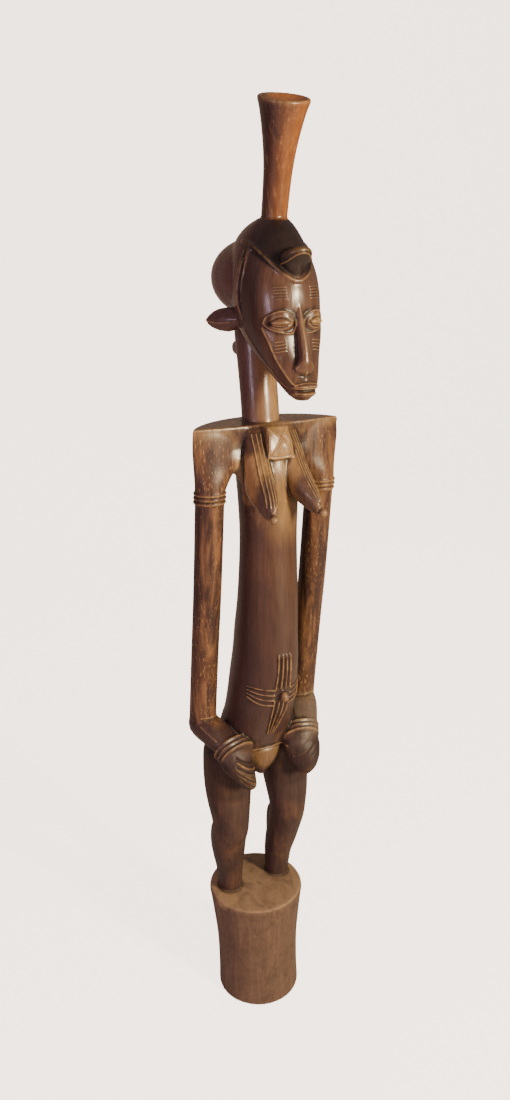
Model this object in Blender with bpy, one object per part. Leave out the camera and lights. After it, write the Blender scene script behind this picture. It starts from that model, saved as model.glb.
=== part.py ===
import bmesh
import bpy
from math import cos, pi, radians, sin
from mathutils import Matrix, Vector

for old in list(bpy.data.objects):
    bpy.data.objects.remove(old, do_unlink=True)

# Drum that the figure stands on, in metres
base_height = 0.148
base_top_radius = 0.0587
base_foot_radius = 0.0513
base_rim_round = 0.003
base_lean_back = 0.004

# Figure from the top of the drum to the rim of the post
figure_height = 0.907
shoulder_width = 0.172
arm_spacing = 0.132
arm_radius = 0.0155
neck_radius = 0.0200
band_height = 0.0141
band_rise = 0.0022
bracelet_rise = 0.0016
bracelet_step = 0.0053

# Post on the head, the end that strikes the ground when the pounder is turned over
post_foot_radius = 0.0128
post_rim_radius = 0.0250
post_rim_wall = 0.0045
post_dish_depth = 0.0060
post_top_tilt = 17
post_top_turn = 10

# The figure's own proportions are laid out in 907ths of its height, close to a millimetre each
unit = figure_height / 907
band_rings = 3

forms = bpy.data.collections.new("forms")
bpy.context.scene.collection.children.link(forms)


def place(x, y, z):
    """Point in figure units, with z measured from the top of the drum."""
    return Vector((x * unit, y * unit, base_height + z * unit))


def power(value, exponent):
    """Signed power, for superellipse sections."""
    return abs(value) ** exponent * (1 if value >= 0 else -1)


def between(keys, steps):
    """More rings between the key rings, on a smooth curve through them."""
    rings = []
    last = len(keys) - 1
    for i in range(last):
        p0, p1, p2, p3 = keys[max(i - 1, 0)], keys[i], keys[i + 1], keys[min(i + 2, last)]
        for step in range(steps):
            t = step / steps
            rings.append(tuple(
                0.5 * (2 * b + (c - a) * t + (2 * a - 5 * b + 4 * c - d) * t ** 2
                       + (3 * b - a - 3 * c + d) * t ** 3)
                for a, b, c, d in zip(p0, p1, p2, p3)))
    rings.append(keys[last])
    return rings


def skin(name, loops):
    """Closed form through loops of points, with a flat cap on each end."""
    sides = len(loops[0])
    faces = []
    for row in range(len(loops) - 1):
        low, high = row * sides, (row + 1) * sides
        for i in range(sides):
            j = (i + 1) % sides
            faces.append((low + i, low + j, high + j, high + i))
    faces.append(tuple(reversed(range(sides))))
    top = (len(loops) - 1) * sides
    faces.append(tuple(range(top, top + sides)))
    mesh = bpy.data.meshes.new(name)
    mesh.from_pydata([tuple(p) for loop in loops for p in loop], [], faces)
    shell = bmesh.new()
    shell.from_mesh(mesh)
    bmesh.ops.recalc_face_normals(shell, faces=shell.faces)
    shell.to_mesh(mesh)
    shell.free()
    form = bpy.data.objects.new(name, mesh)
    forms.objects.link(form)
    return form


def level_loop(ring, sides):
    """Level loop: x, middle y, z, half width, front depth, back depth, squareness."""
    x, y, z, half, front, back, square = ring
    points = []
    for i in range(sides):
        angle = 2 * pi * i / sides
        depth = back if sin(angle) > 0 else front
        points.append(place(x + half * power(cos(angle), 2 / square),
                            y + depth * power(sin(angle), 2 / square), z))
    return points


def column(name, keys, sides, steps=2):
    """Form that rises through level rings."""
    return skin(name, [level_loop(ring, sides) for ring in between(keys, steps)])


def limb(name, keys, sides, steps=2, hint=(0, 0, 1)):
    """Form along a path: x, y, z, half width, half thickness, with the width square to the hint."""
    rings = between(keys, steps)
    centres = [place(*ring[:3]) for ring in rings]
    loops = []
    for i, ring in enumerate(rings):
        ahead = centres[min(i + 1, len(rings) - 1)] - centres[max(i - 1, 0)]
        wide = Vector(hint).cross(ahead).normalized()
        thick = ahead.cross(wide).normalized()
        loops.append([centres[i] + wide * ring[3] * unit * cos(2 * pi * k / sides)
                      + thick * ring[4] * unit * sin(2 * pi * k / sides) for k in range(sides)])
    return skin(name, loops)


def ball(name, centre, radii, sides=12, rows=6):
    """Ellipsoid from level rings."""
    x, y, z = centre
    a, b, c = radii
    keys = []
    for row in range(rows + 1):
        angle = pi * (0.06 + 0.88 * row / rows) - pi / 2
        keys.append((x, y, z + c * sin(angle), a * cos(angle), b * cos(angle), b * cos(angle), 2))
    return column(name, keys, sides, 1)


def drum():
    """Base drum: a waisted round with a worn rim, over one flat underside."""
    sides = 32
    waist = base_foot_radius * 0.985
    profile = [(base_foot_radius - base_rim_round * 0.5, 0),
               (base_foot_radius, base_rim_round * 0.6),
               (waist, base_height * 0.25),
               (base_foot_radius, base_height * 0.5),
               (base_foot_radius + (base_top_radius - base_foot_radius) * 0.45, base_height * 0.74),
               (base_top_radius, base_height - base_rim_round * 1.6),
               (base_top_radius - base_rim_round * 0.35, base_height - base_rim_round * 0.4),
               (base_top_radius - base_rim_round * 1.3, base_height),
               (base_top_radius * 0.55, base_height + base_rim_round * 0.5)]
    loops = []
    for radius, z in profile:
        back = base_lean_back * z / base_height
        loops.append([Vector((radius * cos(2 * pi * i / sides) - back / 4,
                              radius * sin(2 * pi * i / sides) + back, z)) for i in range(sides)])
    skin("drum", loops)


def legs(side):
    """Short bent leg with a calf that bulges behind, under a crease at the knee."""
    column("leg", [(33 * side, 12, -5, 13, 14, 15, 2.2), (33.5 * side, 11, 6, 14, 15, 16, 2.2),
                   (34.5 * side, 10, 32, 16.5, 17, 18, 2.1), (37 * side, 6, 55, 19.5, 19, 20, 2.1),
                   (39 * side, 1, 80, 21, 22, 19, 2.1), (39 * side, -4, 98, 21.5, 24, 18, 2.1),
                   (39.3 * side, -5, 114, 22.5, 25, 21, 2.1), (39.5 * side, -3, 134, 25, 26, 28, 2.2),
                   (39 * side, 0, 156, 27, 28, 32, 2.2), (38.5 * side, 1, 184, 27.5, 28, 35, 2.2),
                   (37 * side, 2, 206, 26.5, 27, 35, 2.1), (33 * side, 3, 224, 20, 22, 28, 2),
                   (29 * side, 4, 236, 11, 13, 15, 2)], 14, 1)
    column("calf", [(36 * side, 12, 34, 12, 10, 14, 2), (38 * side, 9, 52, 17, 14, 20, 2),
                    (39 * side, 6, 74, 19.5, 14, 24.5, 2), (39 * side, 5, 92, 18.5, 12, 23.5, 2),
                    (39 * side, 4, 102, 14, 10, 16.5, 2), (39 * side, 4, 107, 7, 5, 8, 2)], 12, 1)


def torso():
    """Hips, belly and chest in one swelling tube."""
    column("torso", [(0, 2, 168, 12, 10, 12, 2), (0, 2, 174, 24, 17, 22, 2), (0, 3, 190, 41, 25, 33, 2.1),
                     (0, 4, 212, 46, 32, 36, 2.2), (0, 1, 236, 43, 39, 38, 2.2),
                     (0, -6, 256, 40, 42, 40, 2.1), (0, -12, 278, 38, 47, 45, 2),
                     (0, -17, 304, 36, 49, 47, 2), (0, -22, 334, 34.5, 48.5, 45, 2),
                     (0, -25, 364, 33.5, 44, 43, 2), (0, -29, 400, 32.5, 39, 38, 2),
                     (0, -31, 440, 31.5, 34, 34, 2), (0, -31.5, 480, 31, 32, 31.5, 2),
                     (0, -31, 520, 32, 32, 33, 2.1), (0, -28, 552, 32.5, 33, 37, 2.1),
                     (0, -22, 580, 31, 32, 38, 2), (0, -17, 594, 29, 29, 34, 2)], 24, 1)
    column("apron", [(0, -7, 168, 5, 8, 8, 2), (0, -8, 178, 13, 13, 10, 2), (0, -9, 192, 20, 19, 12, 2),
                     (0, -8, 206, 25, 23, 12, 2), (0, -7, 210, 25.5, 23, 12, 2), (0, -6, 212, 24, 20, 12, 2)], 14, 1)
    limb("navel", [(0, -56, 297, 7, 7), (0, -65, 297.5, 5.5, 5.5), (0, -68.5, 298, 4.2, 4.2),
                   (0, -70.5, 298, 2, 2)], 8, 1)


def lens_loop(half, tip, front, back, z, sides):
    """Level lens loop with pointed ends, deeper behind than in front."""
    points = []
    for i in range(sides):
        angle = 2 * pi * i / sides
        across = cos(angle)
        depth = back * (1 - across ** 2) ** 0.75 if sin(angle) > 0 else -front * (1 - across ** 2) ** 0.75
        points.append(place(half * across, tip + depth, z))
    return points


def shoulders():
    """Flat-topped lens across the shoulders, thick behind and nearly straight in front."""
    half = shoulder_width / 2 / unit
    rows = [(half * 0.36, -34, 10, 28, 536), (half * 0.56, -36, 8, 34, 556), (half * 0.80, -34, 4, 42, 574),
            (half, -32, 6, 47, 590), (half, -32, 6, 48, 596.5), (half - 1.2, -32, 5, 46.5, 597.5)]
    skin("shoulders", [lens_loop(*row, 28) for row in rows])


def blade_loop(side, inner, outer, y, z, front, back, point, sides):
    """Level loop of the upper arm: blunt towards the chest, pointed or round at the outer edge."""
    middle, half = (inner + outer) / 2, (outer - inner) / 2
    points = []
    for i in range(sides):
        angle = 2 * pi * i / sides
        square = point if cos(angle) > 0 else max(point, 2)
        depth = back if sin(angle) > 0 else front
        x = middle + half * power(cos(angle), 2 / square)
        points.append(place(x * side, y + depth * power(sin(angle), 2 / square), z))
    return points


def arms(side):
    """Blade that narrows from the shoulder to the armband, then a straight round arm to the elbow."""
    out = arm_spacing / 2 / unit
    radius = arm_radius / unit
    edge = shoulder_width / 2 / unit
    rows = [(out - radius + 4, out + radius - 4, -27.5, 522, 11, 11, 2),
            (out - radius, out + radius, -27.5, 530, radius, radius, 2),
            (out - radius - 6, out + radius + 1, -28.5, 542, 14, 16, 1.9),
            (out - radius - 15, (edge + out + radius) / 2 + 0.3, -30, 557, 9, 22, 1.65),
            (out - radius - 20, edge - 0.6, -31.5, 578, 6, 31, 1.45),
            (out - radius - 20, edge - 1.3, -31.5, 593, 4.5, 32, 1.4)]
    skin("upper arm", [blade_loop(side, *row, 16) for row in rows])
    column("arm", [(out * side, 9, 236, radius, radius, radius, 2.2), (out * side, 7, 262, radius, radius, radius, 2.1),
                   (out * side, -4, 344, radius, radius, radius, 2), (out * side, -15.5, 424, radius, radius, radius, 2),
                   (out * side, -27.5, 530, radius, radius, radius, 2)], 16, 1)
    rise = band_rise / unit
    step = band_height / band_rings / unit
    for ring in range(band_rings):
        z = 517.4 + ring * step
        y = -26.2 - 0.12 * ring * step
        keys = []
        for share, grow in ((0.06, -2 / rise), (0.24, 0.85), (0.76, 0.85), (0.94, -2 / rise)):
            wide = radius + rise * grow
            keys.append((out * side, y, z + share * step, wide, wide, wide, 2))
        column("armband", keys, 16, 1)


def forearm_path(side):
    """Elbow, wrist and fingertips, with the half width and thickness at each."""
    out = arm_spacing / 2 / unit
    return [(out * side, 20, 247, 11, 10), ((out + 0.2) * side, 15, 246, 15, 14.5),
            ((out - 0.5) * side, 5.5, 242.5, 17, 16), ((out - 6) * side, -5, 237.5, 18.5, 15.5),
            ((out - 13) * side, -14.5, 231, 20, 15), ((out - 19) * side, -22.5, 224.5, 21.2, 15),
            ((out - 22.5) * side, -29.5, 217.5, 21.8, 15), ((out - 23.5) * side, -36, 206.5, 20.6, 14.6),
            ((out - 26.5) * side, -40.5, 197, 17.6, 13.5), ((out - 29.5) * side, -43.5, 187.5, 13.8, 11.5),
            ((out - 32) * side, -45, 180, 9.8, 8.5), ((out - 33) * side, -45.5, 175, 5.6, 5.5)]


def hands(side):
    """Forearm and mitten hand laid on the thigh, with three bracelets and the thumb."""
    limb("forearm", forearm_path(side), 14, 1)
    out = arm_spacing / 2 / unit
    rise, step = bracelet_rise / unit, bracelet_step / unit
    run = Vector((-0.199 * side, -0.896, -0.398))
    for ring in range(band_rings):
        centre = Vector(((out - 23) * side, -28.5, 219)) + run * step * (ring - 1)
        rows = []
        for share, grow in ((-0.46, -2), (-0.26, rise), (0.26, rise), (0.46, -2)):
            rows.append((*(centre + run * step * share), 22.1 + grow, 17.1 + grow))
        limb("bracelet", rows, 14, 1)


def neck():
    """Round neck that leans back a little, with a low roll of hair behind it."""
    radius = neck_radius / unit
    column("neck", [(0, -17, 588, radius, radius, radius, 2), (0, -13, 620, radius, radius, radius, 2),
                    (0, -8, 650, radius, radius, radius, 2), (0, 0, 690, radius, radius + 3, radius, 2),
                    (0, 2, 715, radius, radius + 4, radius, 2)], 20, 1)
    column("nape roll", [(0, 2, 662, 14, 2, radius - 2, 2), (0, 3, 666, 18, 2, radius + 3.5, 2.2),
                         (0, 3.5, 671, 19, 2, radius + 5.5, 2.2), (0, 4, 676, 18, 2, radius + 3, 2.2),
                         (0, 4, 679, 14, 2, radius - 3, 2)], 12, 1)


# Rings of the bare head from the chin to the crown: z, half width, widest y, front y, back y, squareness
head_rings = [(631, 6, -102, -109, -96, 2), (636, 11.5, -99, -113.5, -87, 2.2), (645, 16.5, -92, -113, -76, 2.5),
              (657, 21.5, -84, -107, -58, 2.8), (672, 27.5, -72, -101, -38, 2.8), (687, 32.5, -64, -97.5, -20, 2.8),
              (702, 36.5, -56, -95.5, -8, 2.6), (717, 39, -51, -97, 0, 2.3), (732, 40.2, -48, -96, 2, 2.1),
              (747, 39.6, -43, -91, 3, 2.1), (762, 36.8, -38, -84, 3, 2), (777, 30.5, -34, -77, 5, 2),
              (789, 22, -38, -69, -5, 2), (796, 15, -43, -60, -22, 2), (799, 9, -43, -53, -33, 2)]


def head_ring(z):
    """The head's ring at one level."""
    for low, high in zip(head_rings, head_rings[1:]):
        if z <= high[0]:
            t = (z - low[0]) / (high[0] - low[0])
            return [a + (b - a) * t for a, b in zip(low, high)]
    return list(head_rings[-1])


def on_head(angle, z, lift=0):
    """Point on the head's skin: angle in degrees from the front, towards the figure's left."""
    _, half, middle, front, back, square = head_ring(z)
    turn = radians(angle)
    depth = back - middle if cos(turn) < 0 else middle - front
    x = (half + lift) * power(sin(turn), 2 / square)
    y = middle - (depth + lift) * power(cos(turn), 2 / square)
    return x, y, z


def head():
    """Bare head with a long pointed face, and the hair that covers its crown and back."""
    column("head", [(0, middle, z, half, middle - front, back - middle, square)
                    for z, half, middle, front, back, square in head_rings], 24)
    ball("hair lobe", (0, 4, 742), (42, 44, 38.5), 18, 8)
    column("hair side", [(0, -15, 705, 13, 12, 12, 2.4), (0, -15, 712, 26, 24, 20, 2.8),
                         (0, -15, 722, 36.5, 30, 24, 3.2), (0, -15, 734, 41.6, 32, 26, 3.2),
                         (0, -15, 746, 42.3, 32, 26, 3.2), (0, -15, 758, 39.8, 32, 26, 3.2),
                         (0, -15, 768, 34.6, 31, 24, 3), (0, -15, 776, 26, 28, 20, 2.6),
                         (0, -15, 779.5, 15, 18, 14, 2.4)], 16, 1)
    knot_loops = []
    for middle, z, half, front, back in ((-84, 741, 4, 8, 8), (-84, 749, 10, 13, 11), (-85, 756, 14, 18, 14),
                                         (-86, 760, 15.5, 20, 15), (-84, 765, 14, 18, 14),
                                         (-80, 769, 9.5, 12, 10), (-76, 771, 4, 5, 5)):
        loop = []
        for i in range(14):
            angle = 2 * pi * i / 14
            y = middle + (back if sin(angle) > 0 else front) * sin(angle)
            loop.append(place(half * cos(angle), y, z + 0.42 * (-86 - y) * min(1, half / 14)))
        knot_loops.append(loop)
    skin("forehead knot", knot_loops)


def hairline(side):
    """Raised edge of the hair: a V on the forehead that climbs, then runs down behind the temple."""
    marks = [(-6, 740.5, 2.5), (4, 741, 2.5), (14, 744.5, 2.5), (24, 750, 2.5), (34, 756.5, 2.4), (46, 764.5, 2.3),
             (56, 769.5, 2.2), (66, 773, 2), (78, 775.5, 1.8)]
    limb("hairline", [(*on_head(angle * side, z, 0.1), wide, 2.2) for angle, z, wide in marks],
         6, 1, hint=(0.2, 0.1, 1))
    temple = [(62, 770), (68, 765), (78, 754.5), (87, 739.5), (92, 723), (96, 705)]
    limb("temple line", [(*on_head(angle * side, z, 0.1), 2.2, 2.2) for angle, z in temple],
         6, 1, hint=(0.2, 0.1, 1))


def ear(side):
    """Leaf-shaped ear that points out and back."""
    limb("ear", [(31 * side, -30, 703, 9, 9), (38 * side, -24, 703, 8, 12), (45.5 * side, -16.5, 702.5, 6.5, 11),
                 (51 * side, -11, 702, 4.5, 8), (55 * side, -8, 702, 2.2, 4), (56.6 * side, -7, 702, 0.8, 1)], 8, 1)


def face():
    """Long nose, lidded eyes and small lips that stand out at the chin."""
    limb("nose", [(0, -88, 722, 3, 4), (0, -92.5, 714, 3.8, 5), (0, -98, 700, 4.2, 6), (0, -102, 684, 4.6, 7),
                  (0, -105.2, 671, 5.6, 7.5), (0, -106.5, 664, 9.5, 6.5), (0, -105.5, 659, 10, 5.5), (0, -103, 656, 6, 3)],
         10, 1, hint=(0, 1, 0))
    for side in (-1, 1):
        marks = [(53, 3, 1.5, -4.5), (47, 6.5, 2.2, -3.2), (36, 10, 3.4, -1.6), (22, 10.5, 4, -0.2), (10, 7, 3, -0.5),
                 (4, 3, 2, -2)]
        limb("eye", [(*on_head(angle * side, 705, lift), tall, thick) for angle, tall, thick, lift in marks],
             10, 1, hint=(0, 1, 0))
    column("upper lip", [(0, -100, 641.2, 10, 10, 5, 2), (0, -100, 642.5, 14.5, 16.5, 5, 2.2),
                         (0, -100, 645, 15, 17, 5, 2.2), (0, -100, 648, 11, 12, 5, 2)], 12, 1)
    column("lower lip", [(0, -98, 634, 9, 13, 5, 2), (0, -98, 636.5, 13, 18, 5, 2.2),
                         (0, -98, 639, 13.8, 18.5, 5, 2.2), (0, -98, 640.8, 10, 12, 5, 2)], 12, 1)


def chest(side):
    """Long pointed breast with its nipple."""
    rings = [(19.5, -36, 594, 8, 7, 8), (19.8, -37, 590, 9.5, 10, 8), (20.5, -40, 580, 11, 13.5, 10),
             (21, -44, 568, 12.5, 16.5, 12), (21.6, -48, 556, 13.2, 20.5, 14), (22.4, -52, 544, 13.4, 26.5, 18),
             (23.8, -58, 532, 12.6, 32, 22), (25.4, -66, 524, 10.6, 30, 20), (26.8, -75, 517.5, 8.4, 23.5, 17),
             (27.9, -84, 512.5, 5.6, 14.5, 12), (28.4, -89, 509.5, 2.5, 7, 7)]
    column("breast", [(x * side, y, z, half, front, back, 1.9) for x, y, z, half, front, back in rings], 12, 1)
    ball("nipple", (29 * side, -97.3, 512.4), (4.1, 4.1, 4.1), 8, 4)


def plaque():
    """Trapezoid amulet under the neck."""
    rows = [(564.6, -57, 11), (566.2, -56.8, 15.2), (568.6, -56.4, 15.9), (577, -55.3, 15.1), (587, -52.2, 13.8),
            (596.5, -47.5, 12.4)]
    column("plaque", [(0, y + 5, z, half, 9.5, 10, 7) for z, y, half in rows], 16, 1)


def post():
    """Post that flares from the crown to a tilted, dished striking end."""
    sides = 20
    foot, rim = post_foot_radius, post_rim_radius
    flare = rim - foot
    bottom = place(0, -43, 782)
    top = base_height + figure_height - rim * sin(radians(post_top_tilt))
    peak = Vector((0, place(0, -65.5, 0).y, top))
    profile = [(foot * 0.98, 0.0), (foot, 0.18), (foot + 0.04 * flare, 0.36), (foot + 0.12 * flare, 0.52),
               (foot + 0.28 * flare, 0.66), (foot + 0.50 * flare, 0.79), (foot + 0.76 * flare, 0.91),
               (rim, 0.985), (rim - 0.10 * post_rim_wall, 1.0), (rim - 0.5 * post_rim_wall, 1.006),
               (rim - post_rim_wall, 0.995)]
    stops = [(radius, bottom.lerp(peak, share), share) for radius, share in profile]
    fall = Vector((-sin(radians(post_top_turn)), -cos(radians(post_top_turn)), 0))
    for share in (0.75, 0.35):
        depth = post_dish_depth * (1 - 0.8 * share ** 2)
        stops.append(((rim - post_rim_wall) * share, peak - Vector((0, 0, depth)), 1))
    loops = []
    for radius, centre, share in stops:
        slope = radians(post_top_tilt) * share ** 2
        turn = Matrix.Rotation(slope, 3, Vector((0, 0, 1)).cross(fall))
        loops.append([centre + turn @ Vector((radius * cos(2 * pi * i / sides), radius * sin(2 * pi * i / sides), 0))
                      for i in range(sides)])
    skin("post", loops)


def join_forms(name):
    """One closed solid from all the forms, since the whole figure is carved from one log."""
    first = bpy.data.objects.new(name, forms.objects["drum"].data.copy())
    bpy.context.scene.collection.objects.link(first)
    forms.objects.unlink(forms.objects["drum"])
    union = first.modifiers.new("union", "BOOLEAN")
    union.operation = "UNION"
    union.operand_type = "COLLECTION"
    union.collection = forms
    union.solver = "EXACT"
    bpy.context.view_layer.update()
    graph = bpy.context.evaluated_depsgraph_get()
    solid = bpy.data.meshes.new_from_object(first.evaluated_get(graph))
    first.modifiers.clear()
    first.data = solid
    for form in list(forms.objects):
        bpy.data.objects.remove(form, do_unlink=True)
    bpy.data.collections.remove(forms)
    return first


def wood(piece):
    """Dark, polished wood."""
    material = bpy.data.materials.new("polished wood")
    material.use_nodes = True
    shader = material.node_tree.nodes["Principled BSDF"]
    shader.inputs["Base Color"].default_value = (0.085, 0.038, 0.018, 1)
    shader.inputs["Roughness"].default_value = 0.34
    shader.inputs["Metallic"].default_value = 0
    piece.data.materials.clear()
    piece.data.materials.append(material)


drum()
torso()
shoulders()
neck()
head()
face()
plaque()
post()
for hand_side in (-1, 1):
    legs(hand_side)
    arms(hand_side)
    hands(hand_side)
    chest(hand_side)
    hairline(hand_side)
    ear(hand_side)
figure = join_forms("figure")
wood(figure)
for polygon in figure.data.polygons:
    polygon.use_smooth = True
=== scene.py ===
import bmesh
import bpy
import numpy as np
from math import cos, pi, radians, sin
from mathutils import Matrix, Vector
from mathutils.bvhtree import BVHTree
from mathutils.kdtree import KDTree


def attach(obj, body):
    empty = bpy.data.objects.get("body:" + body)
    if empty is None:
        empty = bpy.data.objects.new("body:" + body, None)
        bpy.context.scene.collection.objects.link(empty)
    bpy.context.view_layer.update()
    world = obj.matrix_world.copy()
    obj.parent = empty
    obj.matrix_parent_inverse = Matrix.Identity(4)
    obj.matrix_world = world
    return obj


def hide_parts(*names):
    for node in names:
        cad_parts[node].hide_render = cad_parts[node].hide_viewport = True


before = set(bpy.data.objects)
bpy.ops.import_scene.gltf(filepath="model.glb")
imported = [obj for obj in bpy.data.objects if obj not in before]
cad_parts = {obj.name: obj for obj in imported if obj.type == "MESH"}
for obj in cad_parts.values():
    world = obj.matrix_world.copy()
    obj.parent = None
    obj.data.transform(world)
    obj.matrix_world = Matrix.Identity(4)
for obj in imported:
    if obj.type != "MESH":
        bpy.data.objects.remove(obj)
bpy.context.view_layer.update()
print("frame loaded")

# Camera at the photo's angle
view = {"spot": (-0.4381, -0.8609, 0.92), "turn": -26.97, "down": 18.53, "roll": -0.47, "lens": 29.69}


def setCamera():
    turn, down, roll = (radians(view[key]) for key in ("turn", "down", "roll"))
    ahead = Vector((-sin(turn) * cos(down), cos(turn) * cos(down), -sin(down)))
    level = Vector((cos(turn), sin(turn), 0))
    upright = level.cross(ahead)
    right = level * cos(roll) + upright * sin(roll)
    up = upright * cos(roll) - level * sin(roll)
    pose = Matrix((right, up, -ahead)).transposed().to_4x4()
    pose.translation = Vector(view["spot"])
    lens = bpy.data.cameras.new("camera")
    lens.sensor_fit = "VERTICAL"
    lens.sensor_height = 36
    lens.lens = view["lens"]
    camera = bpy.data.objects.new("camera", lens)
    camera.matrix_world = pose
    bpy.context.scene.collection.objects.link(camera)
    bpy.context.scene.camera = camera


# Studio light: warm key at the figure's left front, pink fill and glint at its right, rim light behind
lamps = [
    {"name": "keyLight", "spot": (0.7, -1.9, 1.26), "aim": (0, 0, 0.6), "size": (0.24, 0.6), "power": 120,
     "tint": (1, 0.84, 0.56), "gloss": True},
    {"name": "fillLight", "spot": (-1.8, -1.2, 0.9), "aim": (0, 0, 0.5), "size": (1.4, 1.4), "power": 27,
     "tint": (1, 0.66, 0.78), "gloss": False},
    {"name": "glintLight", "spot": (-1.8, -0.8, 1.05), "aim": (0, 0, 0.7), "size": (0.24, 0.24), "power": 6,
     "tint": (0.95, 0.8, 1), "gloss": True},
    {"name": "rimLight", "spot": (1.2, 1.6, 1.5), "aim": (0, 0, 0.5), "size": (0.8, 1), "power": 16,
     "tint": (1, 0.9, 0.8), "gloss": False},
]
room = {"air": (0.95, 0.86, 0.84), "airLight": 0.24, "floor": (0.5, 0.42, 0.38), "rough": 0.8,
        "glowTint": (1, 0.89, 0.81), "glow": 3.4, "reach": 6, "wall": 3, "bend": 1.4, "bendSteps": 24,
        "height": 3}


def setLights():
    for lamp in lamps:
        light = bpy.data.lights.new(lamp["name"], "AREA")
        light.energy = lamp["power"]
        light.shape = "RECTANGLE"
        light.size, light.size_y = lamp["size"]
        light.color = lamp["tint"]
        holder = bpy.data.objects.new(lamp["name"], light)
        holder.location = lamp["spot"]
        holder.visible_glossy = lamp["gloss"]
        beam = Vector(lamp["aim"]) - Vector(lamp["spot"])
        holder.rotation_euler = beam.to_track_quat("-Z", "Y").to_euler()
        bpy.context.scene.collection.objects.link(holder)
    world = bpy.data.worlds.new("air")
    world.use_nodes = True
    sky = world.node_tree.nodes["Background"]
    sky.inputs["Color"].default_value = (*room["air"], 1)
    sky.inputs["Strength"].default_value = room["airLight"]
    bpy.context.scene.world = world


def pick(geometry, kind):
    return [item for item in geometry if isinstance(item, kind)]


# Floor that bends up into a pale wall far behind
def layFloor():
    sweep = bmesh.new()
    reach, wall, bend = room["reach"], room["wall"], room["bend"]
    ends = [sweep.verts.new((side * reach, -reach, 0)) for side in (-1, 1)]
    edge = sweep.edges.new(ends)
    flat = bmesh.ops.extrude_edge_only(sweep, edges=[edge])["geom"]
    front = pick(flat, bmesh.types.BMVert)
    bmesh.ops.translate(sweep, vec=(0, reach + wall - bend, 0), verts=front)
    lead = [edge for edge in pick(flat, bmesh.types.BMEdge) if set(edge.verts) == set(front)]
    bent = bmesh.ops.spin(sweep, geom=lead + front, cent=(0, wall - bend, bend), axis=(1, 0, 0), angle=pi / 2,
                          steps=room["bendSteps"], use_duplicate=False)["geom_last"]
    raised = bmesh.ops.extrude_edge_only(sweep, edges=pick(bent, bmesh.types.BMEdge))["geom"]
    bmesh.ops.translate(sweep, vec=(0, 0, room["height"]), verts=pick(raised, bmesh.types.BMVert))
    mesh = bpy.data.meshes.new("floor")
    sweep.to_mesh(mesh)
    sweep.free()
    mesh.polygons.foreach_set("use_smooth", [True] * len(mesh.polygons))
    floor = bpy.data.objects.new("floor", mesh)
    bpy.context.scene.collection.objects.link(floor)
    paint = bpy.data.materials.new("paleFloor")
    paint.use_nodes = True
    shader = paint.node_tree.nodes["Principled BSDF"]
    shader.inputs["Base Color"].default_value = (*room["floor"], 1)
    shader.inputs["Roughness"].default_value = room["rough"]
    shader.inputs["Emission Color"].default_value = (*room["glowTint"], 1)
    seen = paint.node_tree.nodes.new("ShaderNodeLightPath")
    bright = paint.node_tree.nodes.new("ShaderNodeMath")
    bright.operation = "MULTIPLY"
    bright.inputs[1].default_value = room["glow"]
    paint.node_tree.links.new(seen.outputs["Is Camera Ray"], bright.inputs[0])
    paint.node_tree.links.new(bright.outputs[0], shader.inputs["Emission Strength"])
    mesh.materials.append(paint)


setCamera()
setLights()
layFloor()
print("camera, lights and floor set")

# The carving, in millimetres, with heights measured from the top of the drum
unit = 0.001
drumTop = 0.148
carving = {"voxel": 0.0010, "quickVoxel": 0.0016, "soften": 3, "footSnap": 0.0009, "nearRelief": 0.0021,
           "fade": 2.6, "triangles": 195000}
shell = bmesh.new()


def place(x, y, z):
    return Vector((x * unit, y * unit, drumTop + z * unit))


def power(value, exponent):
    return abs(value) ** exponent * (1 if value >= 0 else -1)


# Angles evenly round a full turn
def around(count):
    return [2 * pi * i / count for i in range(count)]


# Cosine and sine round a circle that is drawn out towards its corners as square grows past 2
def squared(angle, square):
    return power(cos(angle), 2 / square), power(sin(angle), 2 / square)


# Smooth curve through a few keys
def between(keys, steps):
    rings = []
    last = len(keys) - 1
    for i in range(last):
        p0, p1, p2, p3 = keys[max(i - 1, 0)], keys[i], keys[i + 1], keys[min(i + 2, last)]
        for step in range(steps):
            t = step / steps
            rings.append(tuple(
                0.5 * (2 * b + (c - a) * t + (2 * a - 5 * b + 4 * c - d) * t ** 2
                       + (3 * b - a - 3 * c + d) * t ** 3)
                for a, b, c, d in zip(p0, p1, p2, p3)))
    rings.append(keys[last])
    return rings


# Closed form drawn up from one circle, ring by ring
def loft(loops):
    form = bmesh.new()
    ring = bmesh.ops.create_circle(form, cap_ends=False, radius=1, segments=len(loops[0]))["verts"]
    edges = list({edge for vert in ring for edge in vert.link_edges})
    caps = list(edges)
    for vert, spot in zip(ring, loops[0]):
        vert.co = spot
    for loop in loops[1:]:
        grown = bmesh.ops.extrude_edge_only(form, edges=edges)["geom"]
        fresh = set(pick(grown, bmesh.types.BMVert))
        edges = [edge for edge in pick(grown, bmesh.types.BMEdge) if edge.is_boundary]
        ring = [next(edge.other_vert(vert) for edge in vert.link_edges if edge.other_vert(vert) in fresh)
                for vert in ring]
        for vert, spot in zip(ring, loop):
            vert.co = spot
    bmesh.ops.holes_fill(form, edges=caps + edges, sides=0)
    bmesh.ops.recalc_face_normals(form, faces=form.faces)
    mesh = bpy.data.meshes.new("form")
    form.to_mesh(mesh)
    form.free()
    shell.from_mesh(mesh)
    bpy.data.meshes.remove(mesh)


# Level loop: x, middle y, z, half width, front depth, back depth, squareness
def levelLoop(ring, sides):
    x, y, z, half, front, back, square = ring
    points = []
    for angle in around(sides):
        across, along = squared(angle, square)
        depth = back if sin(angle) > 0 else front
        points.append(place(x + half * across, y + depth * along, z))
    return points


def column(keys, sides=64, steps=6):
    loft([levelLoop(ring, sides) for ring in between(keys, steps)])


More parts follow.
